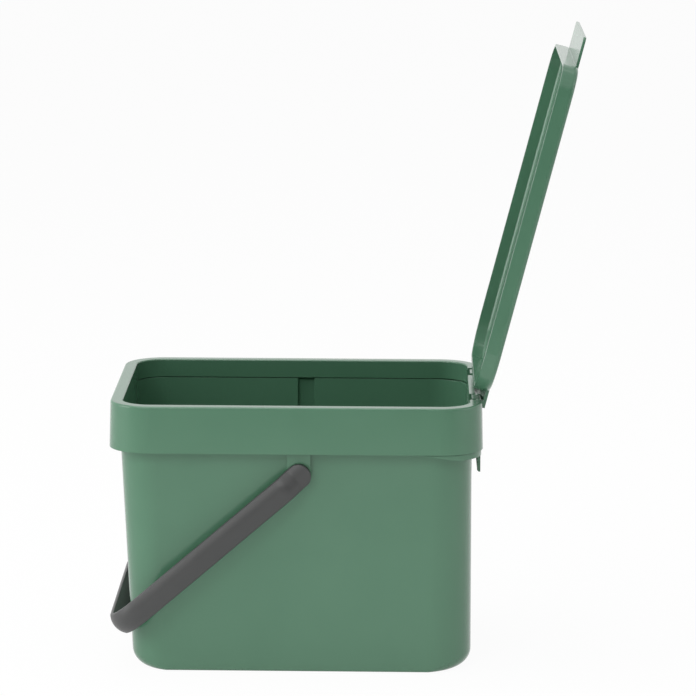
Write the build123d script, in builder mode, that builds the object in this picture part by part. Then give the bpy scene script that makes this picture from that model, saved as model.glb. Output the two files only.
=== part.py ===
from build123d import *
from math import acos, atan, atan2, cos, degrees, hypot, radians, sin
import os

# Kitchen compost bin: a drafted bucket, a clip-on rim frame, a tray lid on two hinge pins
# and a crowned strap handle. Millimetres, +Z up, +X towards the hinge, origin on the base
# under the middle of the rim frame. The lid stands open and the handle hangs in front.

# Rim frame
ring_length = 269.0
ring_width = 200.0
ring_top = 198.0
ring_corner = 30.0
ring_land = 9.0
ring_wall = 2.0
ring_edge = 1.5
band_height = 34.0
band_flare = 0.85
skirt_depth = 13.5
mouth_edge = 0.7

# Bucket
bucket_wall = 2.2
bucket_floor = 2.5
front_step = 6.3
back_step = 7.1
side_step = 6.7
front_draft = 2.8
side_draft = 1.75
back_draft = 0.15
front_corner = 26.0
back_corner = 30.0
base_round = 12.5
floor_bevel = 6.5
shoulder_thick = 2.2
shoulder_gap = 0.6
rim_inset = 4.2
rim_wall = 2.2
rim_gap = 0.2

# Collar and hanging hook on the back of the bucket
collar_inset = 0.3
collar_gap = 0.4
collar_height = 4.1
collar_shelf = 1.8
collar_skirt = 2.0
collar_step = 41.5
collar_run = 25.0
hook_width = 80.0
hook_drop = 19.7
hook_thick = 3.6
hook_taper = 1.2
hook_teeth = 5
tooth_pitch = 2.4
tooth_depth = 0.9
hook_tip = 1.2

# Handle
pivot_x = 2.6
pivot_drop = 16.4
pad_width = 17.0
pad_step = 3.5
pin_radius = 4.0
running_clearance = 0.08
pin_head_radius = 5.0
pin_head_length = 1.8
handle_radius = 171.5
handle_rest_gap = 0.5
handle_side_gap = 0.75
handle_pad_gap = 0.4
handle_corner = 22.0
strap_width = 18.0
strap_edge = 2.6
strap_crown = 3.2
strap_bevel = 0.6
joggle_start = 4.0
joggle_end = 13.0
joggle_round = 8.0

# Lid and its hinge
hinge_step = 2.8
hinge_drop = 3.0
lid_open = 104.5
lid_rear = 10.0
lid_front_gap = 2.2
lid_side_gap = 0.7
lid_rear_corner = 32.0
lid_panel = 2.3
lid_wall = 2.0
lid_under = 3.1
lid_skirt = 9.3
lid_edge = 3.0
lid_inner_bevel = 1.2
lip_width = 128.0
lip_length = 21.0
lip_thick = 2.0
lip_corner = 4.0
leaf_width = 124.8
leaf_tail = 2.2
knuckle_radius = 2.8
knuckle_width = 16.0
lug_width = 4.0
lug_gap = 0.4
lug_cap = 0.8
hinge_clear = 0.7
hinge_land_drop = 0.7
hinge_plate = 4.2
recess_depth = 6.6
hinge_floor = 2.0
knuckle_back = 1.9
hinge_pin_radius = 1.25
hinge_pin_fit = 0.02
hinge_pin_end = 0.3

# Heights and edges that follow from these
ring_bottom = ring_top - band_height
web_under = ring_top - ring_wall
skirt_bottom = ring_top - skirt_depth
shoulder_top = skirt_bottom - shoulder_gap
shoulder_under = shoulder_top - shoulder_thick
rim_top = web_under - rim_gap
collar_top = ring_bottom - collar_gap
collar_bottom = collar_top - collar_height
recess_floor = ring_top - recess_depth
ring_back = ring_length / 2
ring_side = ring_width / 2
reach = ring_length
front_shoulder = front_step - ring_back
back_shoulder = ring_back - back_step
side_shoulder = ring_side - side_step
pivot_z = ring_bottom - pivot_drop
pad_reach = ring_side - pad_step
hinge_x = ring_back - hinge_step
hinge_z = ring_top - hinge_drop


def ring_outline(height, inset):
    """Rounded rectangle of the rim frame at a height, taken in by inset."""
    with BuildSketch(Plane.XY.offset(height)) as outline:
        RectangleRounded(
            ring_length - 2 * inset, ring_width - 2 * inset, ring_corner - inset
        )
    return outline.sketch


def wall_plane(edge, draft, turn, inset):
    """Face of a drafted wall through its edge under the shoulder, facing into the bucket."""
    lean = radians(draft)
    outward = Vector(cos(radians(turn)), sin(radians(turn)), 0)
    inward = Vector(0, 0, sin(lean)) - outward * cos(lean)
    return Plane(origin=outward * edge + Vector(0, 0, shoulder_under), z_dir=inward).offset(inset)


def drafted_tub(bottom, top, inset):
    """Solid between the bucket's drafted walls, taken in by inset, with its corners rounded."""
    with BuildPart() as tub:
        with BuildSketch(Plane.XY.offset(bottom)):
            Rectangle(2 * reach, 2 * reach)
        extrude(amount=top - bottom)
        split(bisect_by=wall_plane(-front_shoulder, front_draft, 180, inset), keep=Keep.TOP)
        split(bisect_by=wall_plane(back_shoulder, back_draft, 0, inset), keep=Keep.TOP)
        split(bisect_by=wall_plane(side_shoulder, side_draft, 90, inset), keep=Keep.TOP)
        split(bisect_by=wall_plane(side_shoulder, side_draft, -90, inset), keep=Keep.TOP)
        corners = tub.edges().filter_by(lambda edge: edge.bounding_box().size.Z > (top - bottom) / 2)
        fillet(corners.group_by(Axis.X)[0], front_corner - inset)
        corners = tub.edges().filter_by(lambda edge: edge.bounding_box().size.Z > (top - bottom) / 2)
        fillet(corners.group_by(Axis.X)[-1], back_corner - inset)
    return tub.part


def pad_outline(top, inset):
    """Side view of a handle pad: straight sides over a round end about the pivot."""
    half = pad_width / 2 - inset
    with BuildSketch(Plane.XZ) as outline:
        with Locations((pivot_x, pivot_z)):
            Circle(half)
            Rectangle(2 * half, top - pivot_z, align=(Align.CENTER, Align.MIN))
    return outline.sketch


def back_strip(height, half_width, front_edge, back_edge):
    """Rectangle at a height across the back, from one X to another."""
    with BuildSketch(Plane.XY.offset(height)) as strip:
        with Locations((front_edge, 0)):
            Rectangle(back_edge - front_edge, 2 * half_width, align=(Align.MIN, Align.CENTER))
    return strip.sketch


# Hollow of the bucket, up to the ledge that the rim frame's skirt hangs over
with BuildPart() as hollow:
    add(drafted_tub(bucket_floor, shoulder_top, bucket_wall))
    chamfer(hollow.faces().sort_by(Axis.Z)[0].edges(), floor_bevel)
    extrude(pad_outline(shoulder_top, bucket_wall), amount=pad_reach - bucket_wall, both=True)

# Collar that carries the hook, under the rim frame at the back
with BuildPart() as collar:
    extrude(ring_outline(collar_bottom, collar_inset), amount=collar_height)
    extrude(
        ring_outline(collar_bottom, collar_inset + collar_skirt),
        amount=collar_height - collar_shelf,
        mode=Mode.SUBTRACT,
    )
    with BuildSketch(Plane.XZ):
        with BuildLine():
            Polyline(
                (ring_back - collar_step, collar_top),
                (ring_back - collar_step + collar_run, collar_bottom),
                (reach, collar_bottom),
                (reach, collar_top),
                close=True,
            )
        make_face()
    extrude(amount=ring_width, both=True, mode=Mode.INTERSECT)

# Toothed hook that hangs the bin, in side view, swept across the back
collar_back = ring_back - collar_inset
hook_bottom = collar_bottom - hook_drop
hook_points = [
    (collar_back, collar_bottom + collar_shelf),
    (collar_back, hook_bottom),
    (collar_back - hook_tip, hook_bottom),
]
for tooth in range(hook_teeth):
    tooth_z = hook_bottom + tooth * tooth_pitch
    root_x = collar_back - hook_thick + hook_taper * (1 - tooth / hook_teeth)
    hook_points.append((root_x, tooth_z + hook_tip))
    hook_points.append((root_x + tooth_depth, tooth_z + hook_tip + tooth_pitch / 2))
hook_points.append((collar_back - hook_thick, collar_bottom + collar_shelf))
with BuildPart() as hook:
    with BuildSketch(Plane.XZ):
        with BuildLine():
            Polyline(*hook_points, close=True)
        make_face()
    extrude(amount=hook_width / 2, both=True)

# Bucket with its pads, shoulder, rim, collar and hook
pin_hole_radius = pin_radius + running_clearance
leaf_half = leaf_width / 2
recess_half = leaf_half + hinge_clear
block_half = recess_half + ring_wall
block_bottom = recess_floor - hinge_floor
with BuildPart() as bucket:
    add(drafted_tub(0, shoulder_under, 0))
    fillet(bucket.faces().sort_by(Axis.Z)[0].edges(), base_round)
    extrude(pad_outline(shoulder_under, 0), amount=pad_reach, both=True)
    extrude(ring_outline(shoulder_under, rim_inset), amount=rim_top - shoulder_under)
    add(collar.part)
    add(hook.part)
    add(hollow.part, mode=Mode.SUBTRACT)
    extrude(
        ring_outline(shoulder_top, rim_inset + rim_wall),
        amount=rim_top - shoulder_top,
        mode=Mode.SUBTRACT,
    )
    extrude(
        back_strip(block_bottom - rim_gap, block_half + hinge_clear, 0, reach),
        amount=rim_top,
        mode=Mode.SUBTRACT,
    )
    with BuildSketch(Plane.XZ):
        with Locations((pivot_x, pivot_z)):
            Circle(pin_hole_radius)
    extrude(amount=ring_width, both=True, mode=Mode.SUBTRACT)

# Space inside the rim frame where the bucket's rim stands
band_taper = degrees(atan2(band_flare, band_height))
with BuildPart() as channel:
    extrude(
        ring_outline(ring_bottom, ring_wall - band_flare),
        amount=web_under - ring_bottom,
        taper=band_taper,
    )
    extrude(
        ring_outline(skirt_bottom, ring_land - ring_wall),
        amount=ring_top - skirt_bottom,
        mode=Mode.SUBTRACT,
    )

# Rim frame with the hinge recess and its two barrels
plate_back = ring_back - ring_land + hinge_plate
knuckle_half = knuckle_width / 2
lug_reach = knuckle_half + 2 * lug_gap + lug_width
knuckle_middle = leaf_half - lug_width - lug_gap - knuckle_half
barrel_front = hinge_x - knuckle_radius - hinge_clear - ring_wall / 2
barrel_foot = recess_floor - hinge_floor / 2
barrel_bore = hinge_pin_radius + running_clearance
with BuildPart() as rim_frame:
    extrude(ring_outline(ring_bottom, -band_flare), amount=band_height, taper=band_taper)
    fillet(rim_frame.faces().sort_by(Axis.Z)[-1].edges(), ring_edge)
    extrude(ring_outline(ring_bottom, ring_land), amount=band_height, mode=Mode.SUBTRACT)
    add(channel.part, mode=Mode.SUBTRACT)
    mouth = rim_frame.faces().sort_by(Axis.Z)[-1].inner_wires()[0]
    chamfer(mouth.edges(), mouth_edge)
    block_front = ring_back - ring_land + ring_wall / 2
    extrude(
        back_strip(block_bottom, block_half, block_front, ring_back - ring_wall / 2),
        amount=ring_top - hinge_land_drop - block_bottom,
    )
    extrude(
        back_strip(ring_top - hinge_land_drop, recess_half, 0, reach),
        amount=ring_top,
        mode=Mode.SUBTRACT,
    )
    extrude(
        back_strip(recess_floor, recess_half, plate_back, reach),
        amount=ring_top,
        mode=Mode.SUBTRACT,
    )
    with BuildSketch(Plane.XY.offset(recess_floor)):
        with Locations((0, knuckle_middle), (0, -knuckle_middle)):
            Rectangle(reach, 2 * lug_reach, align=(Align.MIN, Align.CENTER))
    extrude(amount=ring_top, mode=Mode.SUBTRACT)
    for side in (-1, 1):
        with BuildSketch(Plane.XZ.offset(-side * knuckle_middle)):
            with BuildLine():
                Polyline(
                    (barrel_front, barrel_foot),
                    (barrel_front, hinge_z + knuckle_radius),
                    (hinge_x, hinge_z + knuckle_radius),
                    (hinge_x, hinge_z),
                    (hinge_x + knuckle_back, hinge_z),
                    (hinge_x + knuckle_back, barrel_foot),
                    close=True,
                )
            make_face()
            with Locations((hinge_x, hinge_z)):
                Circle(knuckle_radius)
        extrude(amount=knuckle_half, both=True)
    with BuildSketch(Plane.XZ):
        with Locations((hinge_x, hinge_z)):
            Circle(barrel_bore)
    extrude(amount=knuckle_middle + knuckle_half, both=True, mode=Mode.SUBTRACT)

# Lid, a shallow tray with a front lip and a rear leaf, drawn on its own plane:
# X runs from the hinge axis to the lip and Z points out of the lid's top
lean = radians(lid_open - 90)
lid_plane = Plane(
    origin=(hinge_x, 0, hinge_z), x_dir=(sin(lean), 0, cos(lean)), z_dir=(cos(lean), 0, -sin(lean))
)
hinge_plane = Plane(origin=lid_plane.origin, x_dir=lid_plane.x_dir, z_dir=(0, 1, 0))
outward = Axis(lid_plane.origin, lid_plane.z_dir)
lid_top = lid_under + lid_panel
lid_front = hinge_x + ring_back - ring_land - lid_front_gap
lid_width = ring_width - 2 * (ring_land + lid_side_gap)
lid_front_corner = ring_corner - ring_land - lid_side_gap
leaf_join = lid_rear + lid_rear_corner / 2
lug_hole = hinge_pin_radius + hinge_pin_fit
lug_offset = knuckle_half + lug_gap + lug_width / 2
lug_middles = [side * (knuckle_middle + end * lug_offset) for side in (-1, 1) for end in (-1, 1)]
pin_start = knuckle_middle - lug_offset - lug_width / 2
pin_end = knuckle_middle + lug_offset + lug_width / 2 - lug_cap


def lid_outline(height, inset):
    """Plan of the lid's tray at a distance above the hinge axis, taken in by inset."""
    with BuildSketch(lid_plane.offset(height)) as outline:
        with Locations(((lid_front + lid_rear) / 2, 0)):
            Rectangle(lid_front - lid_rear - 2 * inset, lid_width - 2 * inset)
        fillet(outline.vertices().group_by(Axis.X)[-1], lid_front_corner - inset)
        fillet(outline.vertices().group_by(Axis.X)[0], lid_rear_corner - inset)
    return outline.sketch


with BuildPart() as tray:
    extrude(lid_outline(lid_under - lid_skirt, lid_wall), amount=lid_skirt)
    chamfer(tray.faces().sort_by(outward)[-1].edges(), lid_inner_bevel)

with BuildPart() as lid:
    extrude(lid_outline(lid_under - lid_skirt, 0), amount=lid_skirt + lid_panel)
    fillet(lid.faces().sort_by(outward)[-1].edges(), lid_edge)
    add(tray.part, mode=Mode.SUBTRACT)
    with BuildSketch(lid_plane.offset(lid_top - lip_thick)) as lip:
        with Locations((lid_front - lid_edge - lid_wall, 0)):
            Rectangle(
                lip_length + lid_edge + lid_wall, lip_width, align=(Align.MIN, Align.CENTER)
            )
        fillet(lip.vertices().group_by(Axis.X)[-1], lip_corner)
    extrude(amount=lip_thick)
    with BuildSketch(lid_plane.offset(lid_under)):
        with Locations((-leaf_tail, 0)):
            Rectangle(leaf_join + leaf_tail, leaf_width, align=(Align.MIN, Align.CENTER))
    extrude(amount=lid_panel)
    for lug_middle in lug_middles:
        with BuildSketch(hinge_plane.offset(lug_middle)):
            Circle(knuckle_radius)
            with Locations((-leaf_tail, 0)):
                Rectangle(
                    leaf_tail + knuckle_radius, lid_under + lid_panel / 2, align=(Align.MIN, Align.MIN)
                )
        extrude(amount=lug_width / 2, both=True)
    for side in (-1, 1):
        with BuildSketch(hinge_plane.offset(side * pin_start)):
            Circle(lug_hole)
        extrude(amount=side * (pin_end - pin_start), mode=Mode.SUBTRACT)

# Hinge pins, pressed into the lid's lugs and running in the rim frame's barrels
hinge_pins = {}
for pin_name, side in (("hinge_pin_left", -1), ("hinge_pin_right", 1)):
    with BuildPart() as hinge_pin:
        with BuildSketch(hinge_plane.offset(side * (pin_start + hinge_pin_end))):
            Circle(hinge_pin_radius)
        extrude(amount=side * (pin_end - pin_start - 2 * hinge_pin_end))
    hinge_pins[pin_name] = hinge_pin.part

# The handle hangs with the lower inner edge of its grip against the drafted front wall
strap_half = strap_width / 2
wall_lean = radians(front_draft)
wall_reach = (pivot_x - front_shoulder) * cos(wall_lean) - (shoulder_under - pivot_z) * sin(wall_lean)
edge_radius = hypot(handle_radius, strap_half)
edge_drop = wall_lean + acos((wall_reach + handle_rest_gap) / edge_radius)
droop = edge_drop - atan(strap_half / handle_radius)

# Strap handle, drawn on the plane through the pivot and the grip:
# X runs from the pivot to the grip and Y across the bin
handle_plane = Plane(
    origin=(pivot_x, 0, pivot_z),
    x_dir=(-cos(droop), 0, -sin(droop)),
    z_dir=(sin(droop), 0, -cos(droop)),
)
handle_side = Plane(origin=handle_plane.origin, x_dir=handle_plane.x_dir, z_dir=(0, 1, 0))
along = Axis(handle_plane.origin, handle_plane.x_dir)
end_inside = pad_reach + handle_pad_gap
arm_inside = ring_side + band_flare + handle_side_gap
head_face = pad_reach - bucket_wall - handle_pad_gap
with BuildPart() as carry_handle:
    with BuildLine(handle_plane) as strap_path:
        Polyline(
            (-strap_width, -end_inside),
            (joggle_start, -end_inside),
            (joggle_end, -arm_inside),
            (handle_radius, -arm_inside),
            (handle_radius, arm_inside),
            (joggle_end, arm_inside),
            (joggle_start, end_inside),
            (-strap_width, end_inside),
        )
        fillet(strap_path.vertices().sort_by(along)[-2:], handle_corner)
        fillet(strap_path.vertices().sort_by(along)[2:6], joggle_round)
    strap_start = strap_path.line @ 0
    with BuildSketch(
        Plane(origin=strap_start, x_dir=(0, 1, 0), z_dir=handle_plane.x_dir)
    ) as section:
        with BuildLine():
            ThreePointArc(
                (-strap_edge, -strap_half),
                (-strap_edge - strap_crown, 0),
                (-strap_edge, strap_half),
            )
            Line((-strap_edge, strap_half), (0, strap_half))
            Line((0, strap_half), (0, -strap_half))
            Line((0, -strap_half), (-strap_edge, -strap_half))
        make_face()
        chamfer(section.vertices(), strap_bevel)
    sweep(path=strap_path.line)
    with BuildSketch(handle_side):
        Circle(strap_half)
        Rectangle(reach, strap_width, align=(Align.MIN, Align.CENTER))
    extrude(amount=ring_width, both=True, mode=Mode.INTERSECT)
    for side in (-1, 1):
        with BuildSketch(Plane.XZ.offset(side * (end_inside + strap_edge))):
            with Locations((pivot_x, pivot_z)):
                Circle(pin_radius)
        extrude(amount=-side * (end_inside + strap_edge - head_face))
        with BuildSketch(Plane.XZ.offset(side * head_face)):
            with Locations((pivot_x, pivot_z)):
                Circle(pin_head_radius)
        extrude(amount=-side * pin_head_length)

carry_handle.part.label = "carry_handle"
bucket.part.label = "bucket"
rim_frame.part.label = "rim_frame"
lid.part.label = "lid"

os.makedirs("parts", exist_ok=True)
export_step(bucket.part, "parts/bucket.step")
export_step(rim_frame.part, "parts/rim_frame.step")
export_step(lid.part, "parts/lid.step")
export_step(carry_handle.part, "parts/carry_handle.step")
for pin_name, pin_part in hinge_pins.items():
    pin_part.label = pin_name
    export_step(pin_part, "parts/" + pin_name + ".step")
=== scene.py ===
from math import hypot, pi, sqrt

import bpy
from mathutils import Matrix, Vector


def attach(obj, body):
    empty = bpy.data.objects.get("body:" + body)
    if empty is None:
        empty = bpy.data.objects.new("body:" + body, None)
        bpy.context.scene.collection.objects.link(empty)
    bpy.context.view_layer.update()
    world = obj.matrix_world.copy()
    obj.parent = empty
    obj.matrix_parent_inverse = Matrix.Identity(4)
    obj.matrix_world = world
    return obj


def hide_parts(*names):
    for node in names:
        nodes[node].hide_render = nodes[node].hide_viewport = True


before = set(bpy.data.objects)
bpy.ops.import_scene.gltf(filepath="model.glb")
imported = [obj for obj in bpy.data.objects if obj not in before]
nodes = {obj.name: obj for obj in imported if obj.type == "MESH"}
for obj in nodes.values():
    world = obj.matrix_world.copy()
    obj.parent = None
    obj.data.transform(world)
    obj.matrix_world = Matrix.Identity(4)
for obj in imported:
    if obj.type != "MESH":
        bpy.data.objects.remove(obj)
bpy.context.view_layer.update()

# Colours are linear, lengths in metres, angles in radians and powers in watts
GREEN_DEEP = (0.075, 0.184, 0.112, 1.0)
GREEN = (0.080, 0.192, 0.118, 1.0)
GREEN_PALE = (0.085, 0.199, 0.123, 1.0)
GREY_DEEP = (0.044, 0.045, 0.045, 1.0)
GREY = (0.050, 0.051, 0.051, 1.0)
GREY_PALE = (0.056, 0.057, 0.057, 1.0)
STEEL_DEEP = (0.40, 0.40, 0.39, 1.0)
STEEL = (0.56, 0.56, 0.55, 1.0)
TABLE_WHITE = (0.95, 0.95, 0.95, 1.0)
WHITE = (1.0, 1.0, 1.0, 1.0)

# Satin polypropylene: flow clouds in the colour, rubs and a sparked grain in the gloss
BODY_ROUGHNESS = 0.17
LID_ROUGHNESS = 0.15
STRAP_ROUGHNESS = 0.42
RUB_CONTRAST = 0.08
GRAIN_CONTRAST = 0.06
GRAIN_HEIGHT = 0.00003
GRAIN_STRENGTH = 0.5
CLOUD_STOPS = (0.25, 0.5, 0.78)
EDGE_SOFTNESS = 0.0004
LID_RIM_SOFTNESS = 0.0010
EDGE_SAMPLES = 4

# Drawn steel wire
WIRE_ROUGHNESS = 0.28
WIRE_CONTRAST = 0.15
WIRE_MARK_HEIGHT = 0.00002
WIRE_STOPS = (0.3, 0.7)

# Outline of the bucket's outer walls, carried down to the table
BASE_SIDE = 0.08775
BASE_FRONT = -0.11931
BASE_BACK = 0.12692
FRONT_CORNER = 0.026
BACK_CORNER = 0.030

# Round under the solid's base, the tighter one along the shell's long sides,
# and how much further back the foot of the shell's back wall stands.
# A vertex up to ON_FLOOR high belongs to the flat underside.
BASE_ROUND = 0.0125
SIDE_ROUND = 0.0020
BACK_SHIFT = 0.0011
ON_FLOOR = 0.00001

# White room. It dims where a ray's direction passes both ranges, the first along Y
# and the second along Z, which is low down behind the camera.
ROOM_LIGHT = 0.45
STUDIO_DIM = 0.85
DIM_BEHIND = (-0.25, -0.75)
DIM_BELOW = (0.60, 0.30)

# Table, which starts in front of the bin and runs far back into the room
FLOOR_SIZE = 12.0
FLOOR_FRONT = 1.25
FLOOR_GAP = 0.0002
FLOOR_WHITE = 0.95

# Lamps: place, aim, width, height, power, and whether they show in the gloss
BIN_MIDDLE = (0.0, 0.0, 0.15)
BIN_FOOT = (0.0, 0.0, 0.08)
LAMPS = {
    "front_box": ((-0.9, -2.0, 1.7), BIN_MIDDLE, 1.4, 1.2, 17.0, True),
    "left_box": ((-2.0, -0.4, 0.7), BIN_MIDDLE, 1.2, 1.4, 18.0, True),
    "right_box": ((2.0, -0.5, 0.8), BIN_MIDDLE, 1.0, 1.4, 5.0, True),
    "top_box": ((-0.3, 0.2, 2.0), BIN_MIDDLE, 1.6, 1.6, 15.5, True),
    "table_bounce": ((-0.1, -1.1, 0.05), BIN_FOOT, 1.2, 0.25, 3.7, False),
}

# Camera, on the bin's long side and a little above it
CAMERA_PLACE = (0.08315, -2.76755, 0.72166)
CAMERA_PITCH = 0.1779
CAMERA_YAW = -0.0170
CAMERA_ROLL = -0.0044
CAMERA_LENS_MM = 196.55


class Value:
    """A node's output. Arithmetic on it adds the Math nodes."""

    def __init__(self, finish, socket):
        self.finish = finish
        self.socket = socket

    def math(self, operation, first, second):
        return self.finish.add("ShaderNodeMath", {"operation": operation}, {0: first, 1: second})

    def __add__(self, other):
        return self.math("ADD", self, other)

    def __radd__(self, other):
        return self.math("ADD", other, self)

    def __sub__(self, other):
        return self.math("SUBTRACT", self, other)

    def __rsub__(self, other):
        return self.math("SUBTRACT", other, self)

    def __mul__(self, other):
        return self.math("MULTIPLY", self, other)


class Finish:
    """The node tree of a material or world. Every node in it comes from add."""

    def __init__(self, holder):
        self.holder = holder
        holder.use_nodes = True
        self.tree = holder.node_tree
        self.tree.nodes.clear()

    def add(self, kind, settings=None, sockets=None, output=0):
        """Adds a node, sets its properties, then fills its sockets with values or links."""
        node = self.tree.nodes.new(kind)
        for name, setting in (settings or {}).items():
            if name == "stops":
                set_stops(node.color_ramp, setting)
            else:
                setattr(node, name, setting)
        for name, value in (sockets or {}).items():
            if isinstance(value, Value):
                self.tree.links.new(value.socket, node.inputs[name])
            else:
                node.inputs[name].default_value = value
        return Value(self, node.outputs[output]) if len(node.outputs) else node

    def noise(self, scale, detail, roughness=0.5, distortion=0.0):
        """Noise in the object's own coordinates."""
        sockets = {
            "Vector": self.add("ShaderNodeTexCoord", output="Object"),
            "Scale": scale,
            "Detail": detail,
            "Roughness": roughness,
            "Distortion": distortion,
        }
        return self.add("ShaderNodeTexNoise", None, sockets)

    def ramp(self, factor, positions, colours):
        """Colours that follow a value, each with its own position from 0 to 1."""
        stops = tuple(zip(positions, colours))
        return self.add("ShaderNodeValToRGB", {"stops": stops}, {"Fac": factor})

    def bump(self, height, distance, strength=1.0, normal=None):
        sockets = {"Height": height, "Distance": distance, "Strength": strength}
        if normal:
            sockets["Normal"] = normal
        return self.add("ShaderNodeBump", None, sockets)

    def slope(self, value, start, end):
        """Goes smoothly from 0 to 1 while a value goes from start to end."""
        settings = {"interpolation_type": "SMOOTHSTEP"}
        sockets = {"Value": value, "From Min": start, "From Max": end}
        return self.add("ShaderNodeMapRange", settings, sockets)

    def ray(self, kind):
        """1 for rays of a kind and 0 for the others."""
        return self.add("ShaderNodeLightPath", output=f"Is {kind} Ray")

    def surface(self, **sockets):
        """The Principled shader, on the material's output."""
        named = {name.replace("_", " "): value for name, value in sockets.items()}
        shader = self.add("ShaderNodeBsdfPrincipled", None, named)
        self.add("ShaderNodeOutputMaterial", None, {"Surface": shader})
        return self.holder


def set_stops(color_ramp, stops):
    while len(color_ramp.elements) < len(stops):
        color_ramp.elements.new(1.0)
    for element, (position, colour) in zip(color_ramp.elements, stops):
        element.position = position
        element.color = colour


def moulded_plastic(name, colours, roughness, edge_softness):
    """Satin moulded polypropylene: faint flow clouds, a fine sparked grain and soft edges."""
    finish = Finish(bpy.data.materials.new(name))
    clouds = finish.noise(scale=14.0, detail=3.0, distortion=0.4)
    grain = finish.noise(scale=2600.0, detail=2.0, roughness=0.6)
    rubs = finish.noise(scale=90.0, detail=5.0, roughness=0.7)
    edge_settings = {"samples": EDGE_SAMPLES}
    soft_edge = finish.add("ShaderNodeBevel", edge_settings, {"Radius": edge_softness})
    unevenness = (rubs - 0.5) * RUB_CONTRAST
    return finish.surface(
        Base_Color=finish.ramp(clouds, CLOUD_STOPS, colours),
        Roughness=roughness + unevenness + (grain - 0.5) * GRAIN_CONTRAST,
        Specular_IOR_Level=0.5,
        Normal=finish.bump(grain, GRAIN_HEIGHT, GRAIN_STRENGTH, soft_edge),
    )


def drawn_wire(name):
    """Steel wire of the hinge pins, with fine drawing marks."""
    finish = Finish(bpy.data.materials.new(name))
    marks = finish.noise(scale=900.0, detail=2.0)
    return finish.surface(
        Base_Color=finish.ramp(marks, WIRE_STOPS, (STEEL_DEEP, STEEL)),
        Metallic=1.0,
        Roughness=WIRE_ROUGHNESS + marks * WIRE_CONTRAST,
        Normal=finish.bump(marks, WIRE_MARK_HEIGHT),
    )


def blend(value, start, end):
    """Goes smoothly from 0 to 1 while a value goes from start to end."""
    share = min(max((value - start) / (end - start), 0.0), 1.0)
    return share * share * (3.0 - 2.0 * share)


def foot_of_wall(x, y):
    """Nearest point of the bucket's outline at the base, and how squarely it faces the side."""
    side = 1.0 if y > 0 else -1.0
    end = BASE_BACK if x > 0 else BASE_FRONT
    radius = BACK_CORNER if x > 0 else FRONT_CORNER
    middle_x = end - radius if x > 0 else end + radius
    middle_y = BASE_SIDE - radius
    ahead = max(x - middle_x, 0.0) if x > 0 else min(x - middle_x, 0.0)
    aside = max(abs(y) - middle_y, 0.0)
    if ahead == 0.0:
        return Vector((x, side * BASE_SIDE, 0.0)), 1.0
    if aside == 0.0:
        return Vector((end, y, 0.0)), 0.0
    reach = hypot(ahead, aside)
    foot_x = middle_x + radius * ahead / reach
    foot_y = side * (middle_y + radius * aside / reach)
    return Vector((foot_x, foot_y, 0.0)), aside / reach


def bucket_shell():
    """The bucket with its long sides turned under on a tighter curve than its ends.

    Each vertex of the outer round moves towards the foot of its wall. The copy's vertices
    aren't merged, which keeps the shading of the solid.
    """
    bpy.ops.object.select_all(action="DESELECT")
    bucket = nodes["bucket"]
    bucket.select_set(True)
    bpy.context.view_layer.objects.active = bucket
    bpy.ops.object.duplicate(linked=False)
    shell = bpy.context.object
    shell.name = "bucket_shell"
    normals = [vertex.normal.copy() for vertex in shell.data.vertices]
    for vertex, normal in zip(shell.data.vertices, normals):
        place = vertex.co
        if place.z > BASE_ROUND:
            continue
        foot, squareness = foot_of_wall(place.x, place.y)
        outwards = Vector((foot.x - place.x, foot.y - place.y, 0.0))
        faces_in = normal.dot(Vector((place.x, place.y, 0.0))) < 0.0
        if (place.z > ON_FLOOR and faces_in) or outwards.length > BASE_ROUND:
            continue
        turned = 1.0 - sqrt(max(1.0 - squareness * squareness, 0.0))
        tightness = 1.0 - (1.0 - SIDE_ROUND / BASE_ROUND) * turned
        moved = foot + (place - foot) * tightness
        moved.x += BACK_SHIFT * blend(moved.x, BASE_BACK - BACK_CORNER, BASE_BACK)
        vertex.co = moved
    shell.data.materials.clear()
    shell.data.materials.append(body_green)
    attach(shell, "bin")
    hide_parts("bucket")


def softbox(name, place, aim, width, height, power, mirrored):
    """A rectangular studio lamp that points at a place, and shows in the gloss if mirrored."""
    lamp = bpy.data.lights.new(name, "AREA")
    lamp.shape = "RECTANGLE"
    lamp.size = width
    lamp.size_y = height
    lamp.energy = power
    holder = bpy.data.objects.new(name, lamp)
    bpy.context.scene.collection.objects.link(holder)
    holder.location = place
    holder.visible_glossy = mirrored
    towards = Vector(aim) - Vector(place)
    holder.rotation_euler = towards.to_track_quat("-Z", "Y").to_euler()


def white_room():
    """World that looks white all round and lights the bin, dimmer behind the camera."""
    world = bpy.data.worlds.new("studio")
    bpy.context.scene.world = world
    room = Finish(world)
    direction = room.add("ShaderNodeTexCoord", output="Generated")
    across = room.add("ShaderNodeSeparateXYZ", None, {"Vector": direction}, "Y")
    height = room.add("ShaderNodeSeparateXYZ", None, {"Vector": direction}, "Z")
    studio_end = room.slope(across, *DIM_BEHIND) * room.slope(height, *DIM_BELOW)
    mirrored = room.ray("Glossy") + room.ray("Transmission")
    on_things = (ROOM_LIGHT + mirrored * (1.0 - ROOM_LIGHT)) * (1.0 - studio_end * STUDIO_DIM)
    seen = room.ray("Camera")
    strength = seen + (1.0 - seen) * on_things
    light = room.add("ShaderNodeBackground", None, {"Color": WHITE, "Strength": strength})
    room.add("ShaderNodeOutputWorld", None, {"Surface": light})


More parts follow.
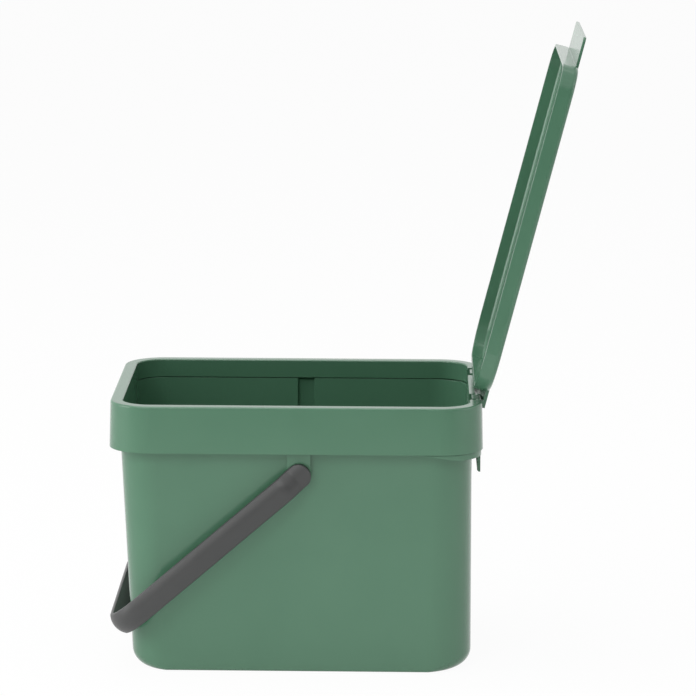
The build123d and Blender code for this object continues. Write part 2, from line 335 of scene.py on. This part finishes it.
def white_floor():
    """Pale table that fades into the white room and keeps a soft shadow."""
    middle_y = FLOOR_SIZE / 2 - FLOOR_FRONT
    bpy.ops.mesh.primitive_plane_add(size=FLOOR_SIZE, location=(0, middle_y, -FLOOR_GAP))
    floor = bpy.context.object
    floor.name = "table"
    finish = Finish(bpy.data.materials.new("pale_table"))
    matte = finish.add("ShaderNodeBsdfDiffuse", None, {"Color": TABLE_WHITE})
    white = finish.add("ShaderNodeEmission", None, {"Color": WHITE, "Strength": 1.0})
    seen = finish.ray("Camera") + finish.ray("Glossy") + finish.ray("Transmission")
    mixed = finish.add("ShaderNodeMixShader", None, {0: seen * FLOOR_WHITE, 1: matte, 2: white})
    finish.add("ShaderNodeOutputMaterial", None, {"Surface": mixed})
    floor.data.materials.append(finish.holder)


greens = (GREEN_DEEP, GREEN, GREEN_PALE)
greys = (GREY_DEEP, GREY, GREY_PALE)
body_green = moulded_plastic("body_green", greens, BODY_ROUGHNESS, EDGE_SOFTNESS)
lid_green = moulded_plastic("lid_green", greens, LID_ROUGHNESS, LID_RIM_SOFTNESS)
strap_grey = moulded_plastic("strap_grey", greys, STRAP_ROUGHNESS, EDGE_SOFTNESS)
pin_steel = drawn_wire("pin_steel")
finishes = {
    "bucket": body_green,
    "rim_frame": body_green,
    "lid": lid_green,
    "carry_handle": strap_grey,
    "hinge_pin_left": pin_steel,
    "hinge_pin_right": pin_steel,
}
for name, finish in finishes.items():
    nodes[name].data.materials.clear()
    nodes[name].data.materials.append(finish)

bucket_shell()
white_room()
white_floor()
for name, settings in LAMPS.items():
    softbox(name, *settings)

camera_data = bpy.data.cameras.new("camera")
camera_data.lens = CAMERA_LENS_MM
camera = bpy.data.objects.new("camera", camera_data)
bpy.context.scene.collection.objects.link(camera)
camera.location = CAMERA_PLACE
camera.rotation_euler = (pi / 2 - CAMERA_PITCH, 0, -CAMERA_YAW)
camera.rotation_euler.rotate_axis("Z", -CAMERA_ROLL)
bpy.context.scene.camera = camera
bpy.context.scene.view_settings.view_transform = "Standard"
